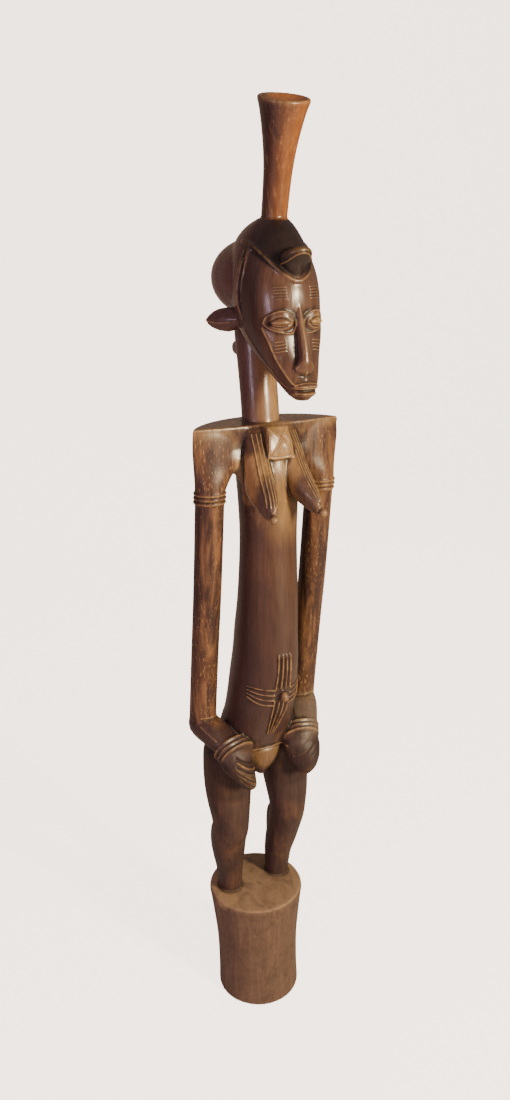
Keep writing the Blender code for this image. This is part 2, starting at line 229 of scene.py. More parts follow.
# Form along a path: x, y, z, half width, half thickness, with the width square to the hint
def limb(keys, sides=40, steps=6, hint=(0, 0, 1), square=2):
    rings = between(keys, steps)
    centres = [place(*ring[:3]) for ring in rings]
    loops = []
    for i, ring in enumerate(rings):
        ahead = centres[min(i + 1, len(rings) - 1)] - centres[max(i - 1, 0)]
        wide = Vector(hint).cross(ahead).normalized()
        thick = ahead.cross(wide).normalized()
        loop = []
        for angle in around(sides):
            across, along = squared(angle, square)
            loop.append(centres[i] + wide * ring[3] * unit * across + thick * ring[4] * unit * along)
        loops.append(loop)
    loft(loops)


def ball(centre, radii, sides=48, rows=24):
    x, y, z = centre
    wide, deep, tall = radii
    keys = []
    for row in range(rows + 1):
        angle = pi * (0.01 + 0.98 * row / rows) - pi / 2
        keys.append((x, y, z + tall * sin(angle), wide * cos(angle), deep * cos(angle), deep * cos(angle), 2))
    column(keys, sides, 1)


# Drum under the feet
drum = {"height": 148, "topRadius": 58.7, "footRadius": 51.3, "rim": 3, "lean": 4}


def carveDrum():
    top, foot, rim, height = drum["topRadius"], drum["footRadius"], drum["rim"], drum["height"]
    profile = [(foot - rim * 0.5, 0), (foot - rim * 0.12, rim * 0.2), (foot, rim * 0.6),
               (foot * 0.99, height * 0.12), (foot * 0.985, height * 0.25), (foot, height * 0.5),
               (foot + (top - foot) * 0.45, height * 0.74), (foot + (top - foot) * 0.86, height * 0.92),
               (top, height - rim * 1.6), (top - rim * 0.35, height - rim * 0.5), (top - rim * 1.3, height),
               (top * 0.55, height + rim * 0.45)]
    loops = []
    for radius, z in between(profile, 3):
        back = drum["lean"] * z / height
        loops.append([place(radius * cos(angle) - back / 4, radius * sin(angle) + back, z - height)
                      for angle in around(120)])
    loft(loops)


def carveLegs(side):
    column([(33 * side, 12, -5, 13, 14, 15, 2.2), (33.5 * side, 11, 6, 14, 15, 16, 2.2),
            (34.5 * side, 10, 32, 16.5, 17, 18, 2.1), (37 * side, 6, 55, 19.5, 19, 20, 2.1),
            (39 * side, 1, 80, 21, 22, 19, 2.1), (39 * side, -4, 98, 21.5, 24, 18, 2.1),
            (39.3 * side, -5, 114, 22.5, 25, 21, 2.1), (39.5 * side, -3, 134, 25, 26, 28, 2.2),
            (39 * side, 0, 156, 27, 28, 32, 2.2), (38.5 * side, 1, 184, 27.5, 28, 35, 2.2),
            (37 * side, 2, 206, 26.5, 27, 35, 2.1), (33 * side, 3, 224, 20, 22, 28, 2),
            (29 * side, 4, 236, 11, 13, 15, 2)])
    column([(36 * side, 12, 34, 12, 10, 14, 2), (38 * side, 9, 52, 17, 14, 20, 2),
            (39 * side, 6, 74, 19.5, 14, 24.5, 2), (39 * side, 5, 92, 18.5, 12, 23.5, 2),
            (39 * side, 4, 102, 14, 10, 16.5, 2), (39 * side, 4, 107, 7, 5, 8, 2)])


def carveTorso():
    column([(0, 2, 168, 12, 10, 12, 2), (0, 2, 174, 24, 17, 22, 2), (0, 3, 190, 41, 25, 33, 2.1),
            (0, 4, 212, 46, 32, 36, 2.2), (0, 1, 236, 43, 39, 38, 2.2),
            (0, -6, 256, 40, 42, 40, 2.1), (0, -12, 278, 38, 47, 45, 2),
            (0, -17, 304, 36, 49, 47, 2), (0, -22, 334, 34.5, 48.5, 45, 2),
            (0, -25, 364, 33.5, 44, 43, 2), (0, -29, 400, 32.5, 39, 38, 2),
            (0, -31, 440, 31.5, 34, 34, 2), (0, -31.5, 480, 31, 32, 31.5, 2),
            (0, -31, 520, 32, 32, 33, 2.1), (0, -28, 552, 32.5, 33, 37, 2.1),
            (0, -22, 580, 31, 32, 38, 2), (0, -17, 594, 29, 29, 34, 2)], 96)
    column([(0, -7, 168, 5, 8, 8, 2), (0, -8, 178, 13, 13, 10, 2), (0, -9, 192, 20, 19, 12, 2),
            (0, -8, 206, 25, 23, 12, 2), (0, -7, 210, 25.5, 23, 12, 2), (0, -6, 212, 24, 20, 12, 2)], 48, 3)
    ball((0, -67.5, 296), (4.6, 6.6, 6.4), 24, 12)


# Flat-topped lens across the shoulders, deeper behind on the figure's left
shoulders = {"leftBack": 9, "lens": 0.75}


def carveShoulders():
    rows = [(31, -34, 10, 28, 536), (48.2, -36, 8, 34, 556), (68.8, -34, 4, 42, 574),
            (84.2, -32, 6, 47, 590), (84.4, -32, 6, 48, 596.2), (83.4, -32, 5, 46.5, 597.4)]
    loops = []
    for half, tip, front, back, z in between(rows, 3):
        loop = []
        for angle in around(120):
            depth = back + shoulders["leftBack"] * max(cos(angle), 0) if sin(angle) > 0 else -front
            y = tip + depth * (1 - cos(angle) ** 2) ** shoulders["lens"]
            loop.append(place(half * cos(angle), y, z))
        loops.append(loop)
    loft(loops)


arm = {"out": 66, "radius": 15.5, "edge": 85.9, "bandRise": 2.2, "band": 4.7, "bandFoot": 517.4,
       "bandY": -26.2, "bandLean": 0.12}
bandShape = ((0.02, -2.5), (0.14, 0.15), (0.3, 0.8), (0.5, 1), (0.7, 0.8), (0.86, 0.15), (0.98, -2.5))


def carveArm(side):
    out, radius, edge = arm["out"], arm["radius"], arm["edge"]
    rows = [(out - radius + 4, out + radius - 4, -27.5, 522, 11, 11, 2),
            (out - radius, out + radius, -27.5, 530, radius, radius, 2),
            (out - radius - 6, out + radius + 1, -28.5, 542, 14, 16, 1.9),
            (out - radius - 15, (edge + out + radius) / 2 + 0.3, -30, 557, 9, 22, 1.65),
            (out - radius - 20, edge - 0.6, -31.5, 578, 6, 31 + 2 * (side > 0), 1.45),
            (out - radius - 20, edge - 1.4, -31.5, 592 + 1.2 * (side > 0), 4.5, 32 + 4 * (side > 0), 1.4)]
    loops = []
    for inner, outer, y, z, front, back, point in between(rows, 5):
        loop = []
        for angle in around(64):
            across, along = squared(angle, point if cos(angle) > 0 else max(point, 2))
            depth = back if sin(angle) > 0 else front
            x = (inner + outer) / 2 + (outer - inner) / 2 * across
            loop.append(place(x * side, y + depth * along, z))
        loops.append(loop)
    loft(loops)
    column([(out * side, y, z, radius, radius, radius, square) for y, z, square in (
        (9, 236, 2.2), (7, 262, 2.1), (-4, 344, 2), (-15.5, 424, 2), (-27.5, 530, 2))])
    for ring in range(3):
        foot = arm["bandFoot"] + ring * arm["band"]
        y = arm["bandY"] - arm["bandLean"] * ring * arm["band"]
        keys = []
        for share, grow in bandShape:
            wide = radius + (arm["bandRise"] * grow if grow > 0 else grow)
            keys.append((out * side, y, foot + share * arm["band"], wide, wide, wide, 2))
        column(keys, 64, 2)


# Elbow to wrist, then each hand down to its fingertips: x, y, z, half width, half thickness
forearm = {
    "elbow": [(66, 20, 247, 11, 10), (66.2, 15, 246, 15, 14.5), (65.5, 5.5, 242.5, 17, 16),
              (60, -5, 237.5, 18.5, 15.5), (53, -14.5, 231, 20, 14), (47, -22.5, 224.5, 21.2, 13.8),
              (43.5, -29.5, 217.5, 21.8, 14.6)],
    "right": [(42.5, -36, 206.5, 20.5, 14.8), (38.8, -40.5, 197, 17.2, 13.2), (35, -43.5, 187.5, 13, 11.2),
              (31.5, -45, 180, 8.6, 8.2), (30, -45.5, 175, 4.8, 5.2)],
    "left": [(43.2, -36, 206.5, 21.3, 15), (42.5, -40, 197, 19.4, 13.8), (41, -43, 187.5, 16.2, 11.8),
             (39.5, -44.5, 180, 11.6, 8.8), (39, -45, 175, 6.6, 5.6)],
}
bracelets = {"centre": (43, -28.5, 219), "run": (-0.199, -0.896, -0.398), "gap": 5.3, "half": 22, "thick": 17,
             "rise": 1.6, "flare": 0.3, "reach": 2.4, "lean": (1.9, -0.9, 1.2)}


def carveHand(side):
    path = forearm["elbow"] + forearm["left" if side > 0 else "right"]
    limb([(x * side, y, z, half, thick) for x, y, z, half, thick in path], 56, 6, square=2.2)
    run = Vector(bracelets["run"])
    for ring in (-1, 0, 1):
        centre = Vector(bracelets["centre"]) + run * bracelets["gap"] * ring
        centre += Vector(bracelets["lean"]) * (1 - ring) / 2
        rows = []
        for share, grow in ((-1, -2), (-0.7, 0.3), (0, 1), (0.7, 0.3), (1, -2)):
            swell = grow * (bracelets["rise"] if grow > 0 else 1)
            x, y, z = centre + run * share * bracelets["reach"]
            swell -= ring * bracelets["flare"]
            rows.append((x * side, y, z, bracelets["half"] + swell, bracelets["thick"] + swell))
        limb(rows, 64, 2, square=2.1)


def carveNeck():
    column([(0, -17, 588, 20, 20, 20, 2), (0, -13, 620, 20, 20, 20, 2), (0, -8, 650, 20, 20, 20, 2),
            (0, 0, 690, 20, 23, 20, 2), (0, 2, 715, 20, 24, 20, 2)])
    column([(0, 2, 662, 14, 2, 18, 2), (0, 3, 666, 18, 2, 23.5, 2.2), (0, 3.5, 671, 19, 2, 25.5, 2.2),
            (0, 4, 676, 18, 2, 23, 2.2), (0, 4, 679, 14, 2, 17, 2)], 48, 4)


# Rings of the bare head: z, half width, widest y, front y, back y, squareness
headRings = [(631, 6, -102, -109, -96, 2), (636, 11.5, -99, -113.5, -87, 2.2),
             (645, 16.5, -92, -113, -76, 2.5), (657, 21.5, -84, -107, -58, 2.8),
             (672, 27.5, -72, -101, -38, 2.8), (687, 32.5, -64, -97.5, -20, 2.8),
             (702, 36.5, -56, -95.5, -8, 2.6), (717, 39, -51, -97, 0, 2.3), (732, 40.2, -48, -96, 2, 2.1),
             (747, 39.6, -43, -91, 3, 2.1), (762, 36.8, -38, -84, 3, 2), (777, 30.5, -34, -77, 5, 2),
             (789, 22, -38, -69, -5, 2), (796, 15, -43, -60, -22, 2), (799, 9, -43, -53, -33, 2)]


# Point on the bare head: angle in degrees from the front towards the figure's left
def onHead(angle, z, lift=0):
    z = min(max(z, headRings[0][0]), headRings[-1][0])
    low, high = next((a, b) for a, b in zip(headRings, headRings[1:]) if z <= b[0])
    t = (z - low[0]) / (high[0] - low[0])
    half, middle, front, back, square = [a + (b - a) * t for a, b in zip(low[1:], high[1:])]
    turn = radians(angle)
    depth = back - middle if cos(turn) < 0 else middle - front
    ahead, across = squared(turn, square)
    return (half + lift) * across, middle - (depth + lift) * ahead, z


def carveHead():
    column([(0, middle, z, half, middle - front, back - middle, square)
            for z, half, middle, front, back, square in headRings], 96, 6)
    ball((0, -4, 742), (43, 51, 38.5), 80, 40)
    column([(0, -8, 708, 16, 18, 8, 2.4), (0, -8, 714, 28, 28, 8, 2.8), (0, -8, 723, 36.9, 36, 8, 3.2),
            (0, -8, 734, 41.9, 39, 8, 3.2), (0, -8, 744, 42.9, 39, 8, 3.2), (0, -8, 756, 40, 39, 8, 3.2),
            (0, -8, 766, 33.6, 38, 8, 3), (0, -8, 773, 25.3, 34, 8, 2.6), (0, -8, 777, 17, 26, 8, 2.4)],
           80, 4)


# Knot of hair with its front drawn up, in rings: middle y, z, half width, front depth, back depth
knot = {"rings": [(-84, 741, 4, 8, 8), (-84, 749, 10, 13, 11), (-85, 756, 14, 18, 14),
                  (-86, 760, 15.5, 20, 15), (-84, 765, 14, 18, 14), (-80, 769, 9.5, 12, 10),
                  (-76, 771, 4, 5, 5)],
        "slope": 0.42, "hinge": -86, "half": 14}


def carveKnot():
    loops = []
    for middle, z, half, front, back in between(knot["rings"], 3):
        loop = []
        for angle in around(60):
            y = middle + (back if sin(angle) > 0 else front) * sin(angle)
            lift = knot["slope"] * (knot["hinge"] - y) * min(1, half / knot["half"])
            loop.append(place(half * cos(angle), y, z + lift))
        loops.append(loop)
    loft(loops)


def carveHairline(side):
    brow = [(-6, 740.5, 2.5), (4, 741, 2.5), (14, 744.5, 2.5), (24, 750, 2.5), (34, 756.5, 2.4),
            (46, 764.5, 2.3), (56, 769.5, 2.2), (66, 773, 1.9), (78, 775.5, 1.5), (86, 776.5, 0.8)]
    limb([(*onHead(angle * side, z), wide, 2.2) for angle, z, wide in brow], 20, 6, hint=(0.2, 0.1, 1))
    temple = [(62, 770), (68, 765), (78, 754.5), (87, 739.5), (92, 723), (96, 705)]
    limb([(*onHead(angle * side, z), 1.8, 2.2) for angle, z in temple], 20, 6, hint=(0.2, 0.1, 1))


def carveEar(side):
    limb([(31 * side, -30, 703, 9, 9), (38 * side, -24, 703, 8, 12), (45.5 * side, -16.5, 702.5, 6.5, 11),
          (51 * side, -11, 702, 4.5, 8), (55 * side, -8, 702, 2.2, 4), (56.6 * side, -7, 702, 0.8, 1)],
         32, 6, square=1.5)


def carveFace():
    limb([(0, -89.5, 728, 2.5, 4), (0, -92.2, 718, 3.2, 5), (0, -94.6, 708, 3.8, 5.6),
          (0, -98.4, 697, 4.2, 6), (0, -102, 684, 4.6, 7), (0, -105.2, 671, 5.6, 7.5),
          (0, -106.5, 664, 9.5, 6.5), (0, -105.5, 659, 10, 5.5), (0, -103, 656, 6, 3)],
         32, 5, hint=(0, 1, 0))
    for side in (-1, 1):
        marks = [(53, 3, 1.5, -4.5), (47, 6.5, 2.4, -3), (36, 10, 3.8, -1.4), (22, 10.5, 4.2, 0),
                 (10, 7, 3, -0.5), (4, 3, 2, -2)]
        limb([(*onHead(angle * side, 705, lift), tall, thick) for angle, tall, thick, lift in marks],
             32, 5, hint=(0, 1, 0))
        ball((6.8 * side, -105.5, 661.5), (4.2, 4.6, 3.8), 24, 12)
    column([(0, -100, 641.4, 10, 10, 5, 2), (0, -100, 642.7, 14.5, 16.7, 5, 2.2),
            (0, -100, 645, 15, 17.2, 5, 2.2), (0, -100, 648, 11, 12, 5, 2)], 48, 4)
    column([(0, -98, 634, 9, 13, 5, 2), (0, -98, 636.5, 13, 18.2, 5, 2.2),
            (0, -98, 638.8, 13.8, 18.7, 5, 2.2), (0, -98, 640.4, 10, 12, 5, 2)], 48, 4)


# Level rings of a breast: x, middle y, z, half width, depth in front, depth behind
breast = [(19.5, -36, 594, 8, 3.5, 8), (19.8, -37, 590, 9.5, 6.5, 8), (20.5, -40, 580, 11, 11, 10),
          (21, -44, 568, 12.5, 15.5, 12), (21.6, -48, 556, 13.2, 20.5, 14), (22.4, -52, 544, 13.4, 26.5, 18),
          (23.8, -58, 532, 12.6, 32, 22), (25.3, -66, 524, 10.4, 29.5, 20), (26.4, -75, 517.5, 7.6, 21.5, 17),
          (27.4, -84, 512.5, 4.8, 11, 12), (28, -89, 509.5, 2.3, 4, 7)]


# The left breast was cut a little wider towards the middle
def carveBreast(side):
    rings = []
    for x, y, z, half, front, back in breast:
        inward = 0.13 * half if side > 0 else 0
        rings.append(((x - inward) * side, y, z, half + inward, front, back, 1.9))
    column(rings, 64, 5)
    ball((28.4 * side, -98.8, 512.8), (4.7, 4.7, 4.7), 24, 12)


def carvePlaque():
    rows = [(564.6, -57, 11.5), (566, -56.8, 15.2), (568.6, -56.4, 16), (577, -55.3, 15.2),
            (587, -52.2, 13.9), (596.5, -47.5, 12.5)]
    column([(0.6, y + 5, z, half, 9.5, 10, 7) for z, y, half in rows], 96, 5)


post = {"foot": 12.8, "rim": 24.9, "wall": 4.5, "dish": 6, "tilt": 17, "turn": 10, "top": 907}


def carvePost():
    foot, rim, wall = post["foot"], post["rim"], post["wall"]
    flare = rim - foot
    bottom = place(0, -43, 782)
    peak = place(0, -65.5, post["top"] - rim * sin(radians(post["tilt"])))
    profile = [(foot * 0.98, 0.0), (foot, 0.18), (foot + 0.04 * flare, 0.36), (foot + 0.12 * flare, 0.52),
               (foot + 0.28 * flare, 0.66), (foot + 0.50 * flare, 0.79), (foot + 0.76 * flare, 0.91),
               (rim - 0.3, 0.98), (rim - 0.10 * wall, 0.996), (rim - 0.5 * wall, 1.004), (rim - wall, 0.994)]
    stops = [(radius, bottom.lerp(peak, share), share) for radius, share in between(profile, 4)]
    for share in (0.9, 0.75, 0.55, 0.35, 0.15):
        depth = post["dish"] * (1 - 0.8 * share ** 2)
        stops.append(((rim - wall) * share, peak - Vector((0, 0, depth * unit)), 1))
    fall = Vector((-sin(radians(post["turn"])), -cos(radians(post["turn"])), 0))
    axle = Vector((0, 0, 1)).cross(fall)
    loops = []
    for radius, centre, share in stops:
        turn = Matrix.Rotation(radians(post["tilt"]) * share ** 2, 3, axle)
        loops.append([centre + turn @ Vector((cos(angle), sin(angle), 0)) * radius * unit
                      for angle in around(72)])
    loft(loops)


carveDrum()
carveTorso()
carveShoulders()
carveNeck()
carveHead()
carveKnot()
carveFace()
carvePlaque()
carvePost()
for side in (-1, 1):
    carveLegs(side)
    carveArm(side)
    carveHand(side)
    carveBreast(side)
    carveHairline(side)
    carveEar(side)
print("forms drawn:", len(shell.faces), "faces")


# All the forms become one skin, since the whole figure is cut from one log
def joinForms():
    mesh = bpy.data.meshes.new("rough")
    shell.to_mesh(mesh)
    shell.free()
    rough = bpy.data.objects.new("rough", mesh)
    bpy.context.scene.collection.objects.link(rough)
    remesh = rough.modifiers.new("oneSkin", "REMESH")
    remesh.mode = "VOXEL"
    remesh.voxel_size = carving["voxel"]
    bpy.context.view_layer.update()
    graph = bpy.context.evaluated_depsgraph_get()
    skin = bmesh.new()
    skin.from_mesh(bpy.data.meshes.new_from_object(rough.evaluated_get(graph)))
    bpy.data.objects.remove(rough, do_unlink=True)
    return skin


skin = joinForms()
print("one skin:", len(skin.faces), "faces")


# Soften the skin as years of handling do, and keep its foot flat
def softenSkin(times):
    for _ in range(times):
        bmesh.ops.smooth_vert(skin, verts=skin.verts, factor=0.5,
                              use_axis_x=True, use_axis_y=True, use_axis_z=True)
    for vert in skin.verts:
        if vert.co.z < carving["footSnap"]:
            vert.co.z = 0


softenSkin(carving["soften"])
skin.normal_update()
probe = BVHTree.FromBMesh(skin)


# Point of the skin straight behind x, z as the front shows it, or beside y, z as a side shows it
def onFront(x, z):
    hit = probe.ray_cast(place(x, -200, z), Vector((0, 1, 0)))[0]
    return hit if hit else place(x, -60, z)


def onFlank(y, z, side):
    hit = probe.ray_cast(place(200 * side, y, z), Vector((-side, 0, 0)))[0]
    return hit if hit else place(30 * side, y, z)


def frontLine(keys, side=1, steps=6):
    return [onFront(x * side, z) for x, z in between(keys, steps)]


def flankLine(keys, side, steps=6):
    return [onFlank(y, z, side) for y, z in between(keys, steps)]


# Relief cuts and ridges: every entry is a line on the skin, its half width and its height
relief = []


def ridge(line, wide, high):
    relief.append((line, wide * unit, high * unit))


eyeRing = [(-31.3, 703), (-28.6, 709.5), (-19.7, 713.6), (-10, 711.7), (-4.6, 706.2), (-4.5, 698.5),
           (-8.4, 693.3), (-20.5, 695.2), (-28.3, 698.6), (-31.3, 703)]
eyeLid = [(-28.5, 702.6), (-24.5, 706.8), (-19.5, 708.2), (-14, 706.8), (-10.3, 703.4), (-14, 700.2),
          (-19.5, 699), (-25, 700), (-28.5, 702.6)]


def cutFace():
    for side in (-1, 1):
        ridge(frontLine(eyeRing, -side), 0.9, 1.2)
        ridge(frontLine(eyeLid, -side), 0.9, -1.3)
        ridge(frontLine([(-25.5, 702.8), (-19.5, 703.7), (-13, 703.4)], -side), 3.4, 2.1)
        ridge(frontLine([(-27, 702.2), (-19.5, 701.4), (-11.5, 702.4)], -side), 0.7, -1.1)
        for row in range(5):
            height = 735.5 - 2.65 * row
            ridge(frontLine([(-23.6, height - 0.2), (-18.4, height), (-13.2, height)], -side), 0.5, 0.85)
        for row in range(4):
            height = 685.2 - 3.1 * row
            ridge(frontLine([(-24, height), (-19.6, height + 1), (-15.2, height + 1.7)], -side), 0.5, 0.85)
        ridge(frontLine([(-31.6, 698), (-27.1, 683.6), (-21.8, 666.8), (-15, 651), (-11.5, 646)], -side),
              1.3, 1.3)
        ridge(flankLine([(-50.5, 694), (-58.9, 681.3), (-73.5, 666.5), (-87.4, 653.4), (-101, 643.6)], side),
              1.2, 0.9)
        ridge(flankLine([(-49, 767), (-48.5, 752), (-47.5, 739), (-47.5, 723), (-50, 706)], side), 1.2, 1.2)
        ridge(flankLine([(-52.5, 765), (-52.3, 750), (-50.8, 738), (-50.5, 722), (-52.5, 706)], side),
              1.0, -1.1)
        ridge(flankLine([(-55.5, 762), (-55.8, 750), (-54.3, 738), (-53.5, 722)], side), 1.0, 1.0)
        ridge(flankLine([(-30, 700.5), (-20, 700), (-12, 701), (-8, 702)], side), 1.0, 0.9)
    ridge(frontLine([(-14, 756), (-9.5, 761.5), (-5, 764.7), (0, 765.4), (5, 764.7), (9.5, 761.5),
                     (14, 756)]), 1.2, 0.9)
    ridge(frontLine([(-4, 755), (0, 756), (4, 755)]), 5, -1.2)
    ridge([onFront(0, 652), onFront(0, 655), onFront(0, 658)], 1.2, 0.8)
    ridge(frontLine([(-10, 646.6), (-5, 647.6), (0, 648), (5, 647.6), (10, 646.6)]), 0.8, 0.8)
    ridge(frontLine([(-10.5, 643.6), (-5, 644.4), (0, 644.7), (5, 644.4), (10.5, 643.6)]), 0.7, -0.7)
    ridge(frontLine([(-10, 637.4), (-5, 636.8), (0, 636.6), (5, 636.8), (10, 637.4)]), 0.7, -0.7)
    ridge(frontLine([(-9.5, 641), (0, 641.2), (9.5, 641)]), 0.9, -1.0)


def cutChest():
    for side in (-1, 1):
        for rib in range(4):
            spread = (rib - 1.5) / 1.5
            top, wide = (21.3, 4.9) if side > 0 else (18, 7.2)
            ridge(frontLine([(top + wide * spread, 589), (top + 1.7 + 0.94 * wide * spread, 574),
                             (0.35 * top + 15.9 + 0.84 * wide * spread, 556),
                             (0.2 * top + 21.4 + 4.8 * spread, 538), (27.8 + 3.8 * spread, 524)], side),
                  0.7, 1.1)
        collar = []
        for i in range(25):
            angle = 2 * pi * i / 24
            x = (28.9 + 5.2 * cos(angle)) * side
            collar.append(place(x, -94.5 - 0.6 * sin(angle), 514 + 5.4 * sin(angle)))
        ridge(collar, 1.0, 0.9)
    for keys in ([(11.5, 596), (2, 585), (-7.6, 573)], [(-11, 595), (-4, 590), (2.4, 584.6)],
                 [(4.2, 584.2), (-1, 576.5), (-6, 568.4)], [(4.2, 584.2), (9.5, 576), (13.4, 569)]):
        ridge(frontLine(keys), 0.75, 0.8)
    ridge(frontLine([(-13.4, 568), (0, 567), (13.4, 568)]), 0.55, -0.4)


def cutNavel():
    for rib in range(4):
        spread = (rib - 1.5) / 1.5
        ridge(frontLine([(7.2 * spread, 346), (7.4 * spread, 334), (7.8 * spread, 320), (8.6 * spread, 306)]),
              0.95, 1.7)
        ridge(frontLine([(8.4 * spread, 289), (8.2 * spread, 272), (6.2 * spread - 0.6, 253),
                         (3.6 * spread - 1.5, 236)]), 0.95, 1.7)
        ridge([onFront(7.2 * spread, 346.6), onFront(7.2 * spread, 347.4)], 1.5, 0.6)
        for side in (-1, 1):
            height = 304.5 - 6.9 * rib
            ridge(frontLine([(9.5 * side, height), (18 * side, height + 0.3),
                             (25 * side, height + 0.4 + 0.7 * rib), (31.5 * side, height + 0.6 + 2.3 * rib)]),
                  0.95, 1.6)
    for gap in range(3):
        spread = (gap - 1) / 1.5
        ridge(frontLine([(7.3 * spread, 343), (7.8 * spread, 320), (8.6 * spread, 307)]), 0.9, -0.9)
        ridge(frontLine([(8.3 * spread, 287), (8.2 * spread, 272), (5 * spread - 1, 244)]), 0.9, -0.9)


def cutHands():
    for side in (-1, 1):
        depth = 0.3 if side > 0 else 0.75
        ridge(frontLine([(49.5, 215), (44, 210.5), (38.3, 206.5), (33, 203.5), (26, 200)], side),
              1.5, 1.2 * depth)
        ridge(frontLine([(49, 219.5), (43, 216), (36, 212), (26, 206.5)], side), 1.4, -1.1 * depth)
        ridge(frontLine([(51, 211), (44, 206), (38, 202), (26, 195.5)], side), 1.2, -1.2 * depth)
        for finger in range(2):
            drop = 2 + finger * 7
            ridge(frontLine([(51 - 3 * finger, 206 - drop), (43, 199.5 - drop), (35, 193 - drop),
                             (27, 188 - drop)], side), 0.9, -0.8 * depth)
        ridge([onFlank(-6, 257, side), onFront(72 * side, 257.5), onFront(62 * side, 256.5),
               onFront(53 * side, 255)], 1.2, 1)
        ridge(frontLine([(76, 248), (71.6, 242.6), (65.7, 236.5)], side), 1.4, 0.45)
    ridge(frontLine([(-22, 211.5), (-12, 211.5), (0, 211.5), (12, 211.5), (22, 211.5)]), 1.3, 1.0)


cutFace()
cutChest()
cutNavel()
cutHands()
print("relief laid out:", len(relief), "lines")


# Split the skin finer near the relief, so that narrow lines keep their edges
def refineSkin(reach):
    marks = KDTree(sum(len(line) for line, _, _ in relief) * 6)
    count = 0
    for line, _, _ in relief:
        for a, b in zip(line, line[1:]):
            for step in range(6):
                marks.insert(a.lerp(b, step / 6), count)
                count += 1
    marks.balance()
    near = [face for face in skin.faces if marks.find(face.calc_center_median())[2] < reach]
    edges = list({edge for face in near for edge in face.edges})
    bmesh.ops.subdivide_edges(skin, edges=edges, cuts=1, use_grid_fill=True)


refineSkin(carving["nearRelief"])
carved = bpy.data.meshes.new("carvedFigure")
skin.to_mesh(carved)
skin.free()
print("skin refined:", len(carved.vertices), "points")


def readPoints():
    spots = np.empty(len(carved.vertices) * 3)
    carved.vertices.foreach_get("co", spots)
    normals = np.empty(len(carved.vertices) * 3)
    carved.vertex_normals.foreach_get("vector", normals)
    return spots.reshape(-1, 3), normals.reshape(-1, 3)


# Raise and cut the skin along its normals
def applyRelief():
    spots, normals = readPoints()
    lift = np.zeros(len(spots))
    for line, wide, high in relief:
        points = np.array(line)
        reach = wide * carving["fade"]
        low, top = points.min(0) - reach, points.max(0) + reach
        near = np.nonzero(((spots > low) & (spots < top)).all(1))[0]
        gap = np.full(len(near), 1.0)
        for a, b in zip(points, points[1:]):
            run = b - a
            share = np.clip(((spots[near] - a) @ run) / max(run @ run, 1e-12), 0, 1)
            gap = np.minimum(gap, np.linalg.norm(spots[near] - a - share[:, None] * run, axis=1))
        lift[near] += high * np.exp(-(gap / wide) ** 2)
    spots += normals * lift[:, None]
    spots[spots[:, 2] < carving["footSnap"], 2] = 0
    carved.vertices.foreach_set("co", spots.ravel())
    carved.update()


applyRelief()
print("relief cut")


def smoothValues(values, edges, links, times):
    for _ in range(times):
        total = np.bincount(edges[:, 0], values[edges[:, 1]], len(values))
        total += np.bincount(edges[:, 1], values[edges[:, 0]], len(values))
        values = 0.5 * values + 0.5 * total / np.maximum(links, 1)
    return values


# Worn crests, and hollows and nooks for painted shade, from how the skin bends at each point
def markWearAndShade():
    spots, normals = readPoints()
    edges = np.empty(len(carved.edges) * 2, dtype=np.int32)
    carved.edges.foreach_get("vertices", edges)
    edges = edges.reshape(-1, 2)
    links = np.bincount(edges.ravel(), minlength=len(spots))
    run = spots[edges[:, 1]] - spots[edges[:, 0]]
    square = (run * run).sum(1) + 1e-12
    bend = np.bincount(edges[:, 0], -(run * normals[edges[:, 0]]).sum(1) / square, len(spots))
    bend += np.bincount(edges[:, 1], (run * normals[edges[:, 1]]).sum(1) / square, len(spots))
    bend /= np.maximum(links, 1)
    for name, times in (("fineBend", 4), ("broadBend", 40)):
        mark = carved.attributes.new(name, "FLOAT", "POINT")
        mark.data.foreach_set("value", smoothValues(bend, edges, links, times).astype(np.float32))


markWearAndShade()
print("wear measured")


def finishFigure():
    figure = bpy.data.objects.new("carvedFigure", carved)
    bpy.context.scene.collection.objects.link(figure)
    count = len(carved.loops) - 2 * len(carved.polygons)
    thin = figure.modifiers.new("thin", "DECIMATE")
    thin.ratio = min(1, carving["triangles"] / count)
    bpy.context.view_layer.update()
    graph = bpy.context.evaluated_depsgraph_get()
    solid = bpy.data.meshes.new_from_object(figure.evaluated_get(graph))
    figure.modifiers.clear()
    figure.data = solid
    solid.polygons.foreach_set("use_smooth", [True] * len(solid.polygons))
    return figure


figure = finishFigure()
print("figure finished:", len(figure.data.loops) - 2 * len(figure.data.polygons), "triangles")


# Tones of the wood, from the dark polish of the hair to the rubbed crests, with tones for painted shade and
# sheen
tones = {
    "hair": (0.013, 0.0076, 0.0076), "shade": (0.034, 0.0172, 0.0155), "warm": (0.058, 0.0265, 0.0160),
    "arm": (0.125, 0.060, 0.030), "leg": (0.034, 0.0205, 0.0190), "dull": (0.084, 0.051, 0.037),
    "drumTop": (0.185, 0.118, 0.072), "post": (0.190, 0.068, 0.0205), "wearAndSheen": (0.28, 0.160, 0.063),
    "fleck": (0.32, 0.190, 0.085), "hollowShade": (0.010, 0.006, 0.005), "tan": (0.23, 0.145, 0.082),
    "olive": (0.165, 0.125, 0.092), "lobe": (0.062, 0.0295, 0.0265), "face": (0.068, 0.0340, 0.0225),
}


# One node with its settings, its plain values and its links
def addNode(tree, kind, settings, values):
    node = tree.nodes.new(kind)
    for key, value in settings.items():
        setattr(node, key, value)
    for key, value in values.items():
        if isinstance(value, bpy.types.NodeSocket):
            tree.links.new(value, node.inputs[key])
        else:
            node.inputs[key].default_value = value
    return node


def reckon(tree, operation, first, second=0.0):
    return addNode(tree, "ShaderNodeMath", {"operation": operation}, {0: first, 1: second}).outputs[0]


def multiply(tree, first, second):
    return reckon(tree, "MULTIPLY", first, second)


